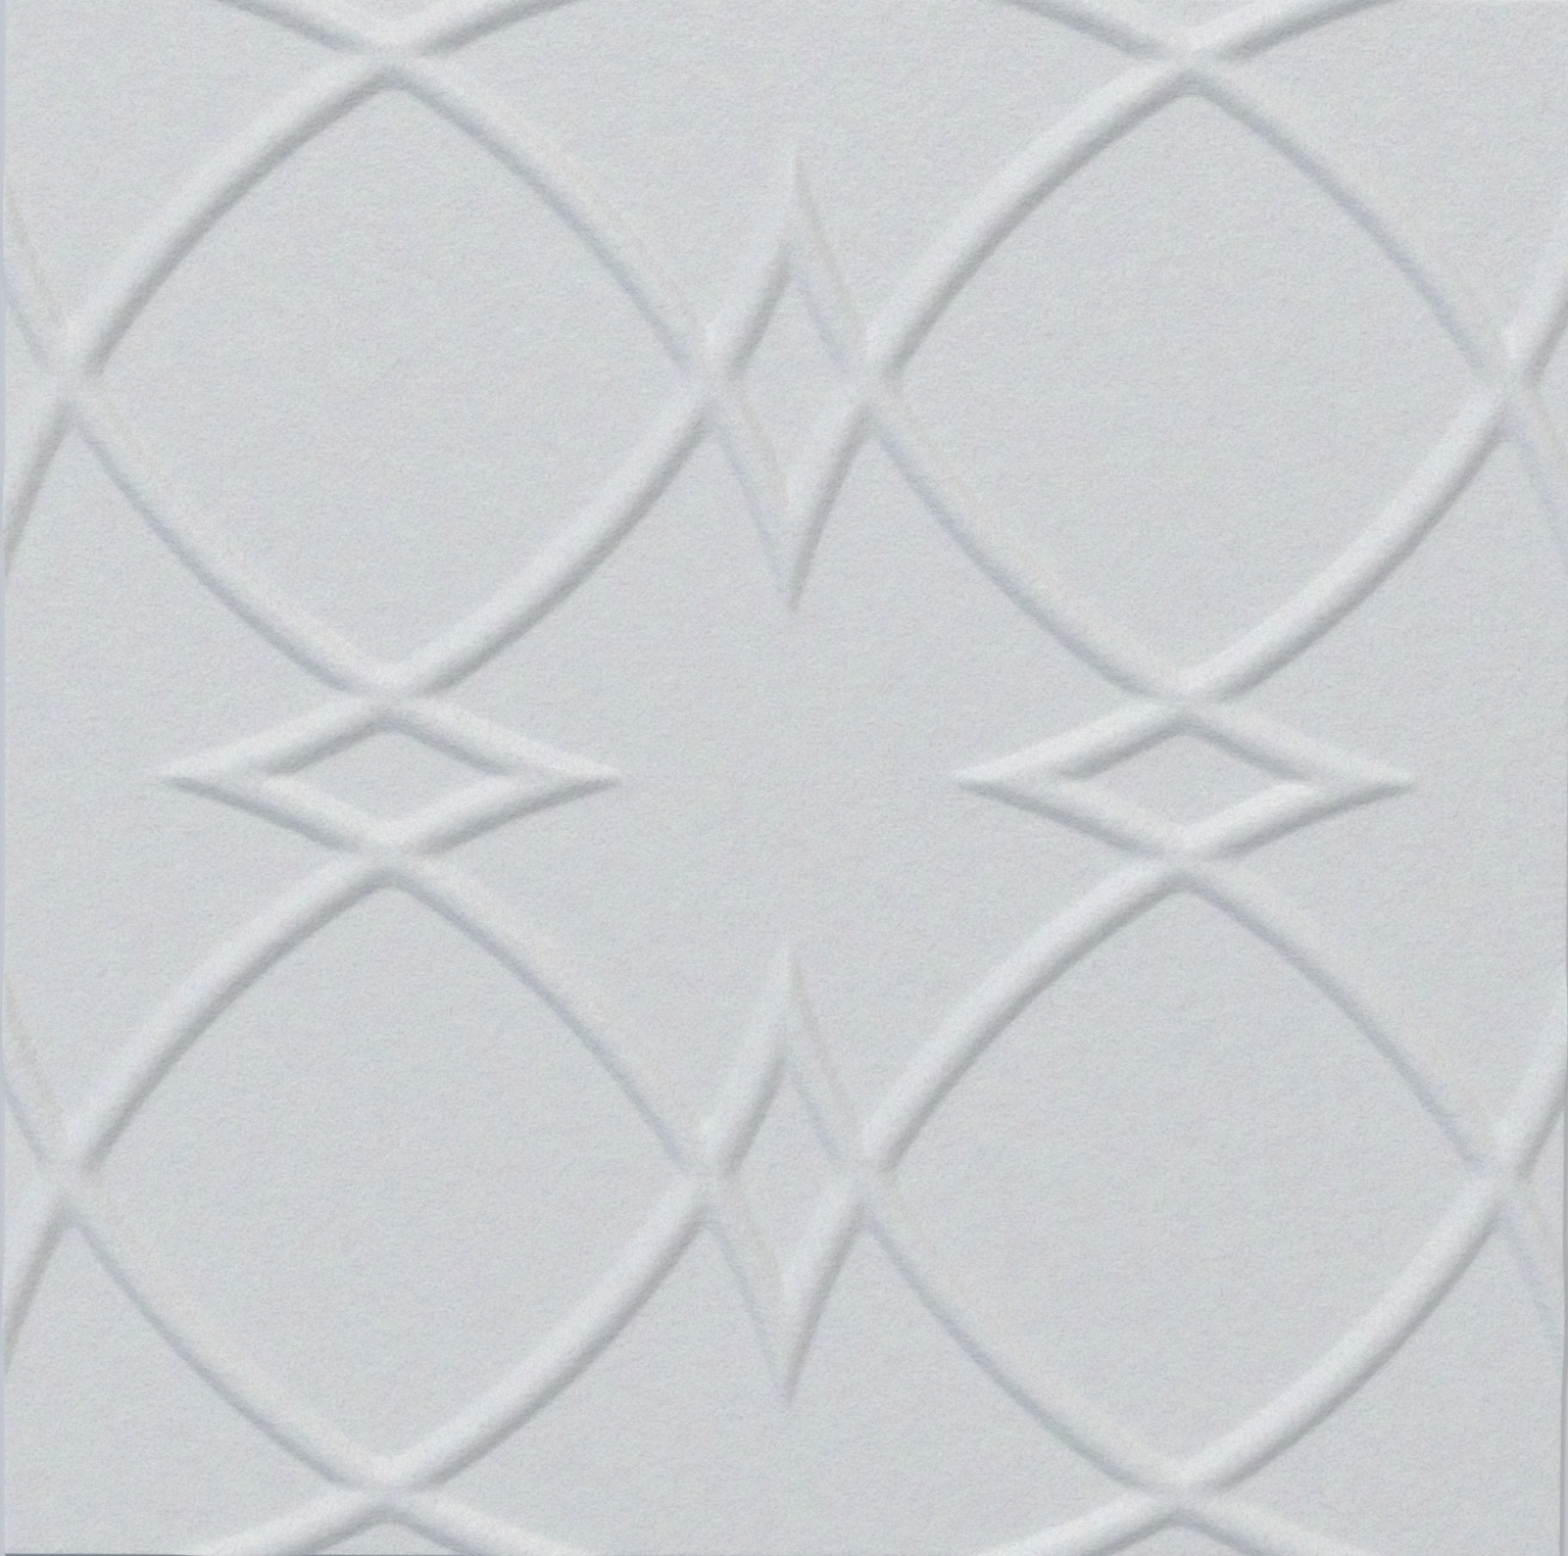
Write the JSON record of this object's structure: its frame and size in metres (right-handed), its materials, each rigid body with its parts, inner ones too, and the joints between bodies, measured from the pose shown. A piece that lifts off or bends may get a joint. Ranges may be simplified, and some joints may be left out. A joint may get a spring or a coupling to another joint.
{
  "type": "ceiling tile",
  "caption": "Square white foam ceiling tile with a lattice of raised, rounded, crossing arc ridges, hollow-backed, with square-cut edges for gluing up edge to edge.",
  "frame": {"origin": "centre of the square back face", "axes": "+Z out of the decorated face, +X to the right and +Y up in the picture"},
  "size_m": [0.5, 0.5, 0.0063],
  "materials": {
    "foam": "matte white pressed polystyrene foam with a fine leathery grain"
  },
  "bodies": {
    "root": {"foam_tile": "foam"}
  },
  "joints": []
}
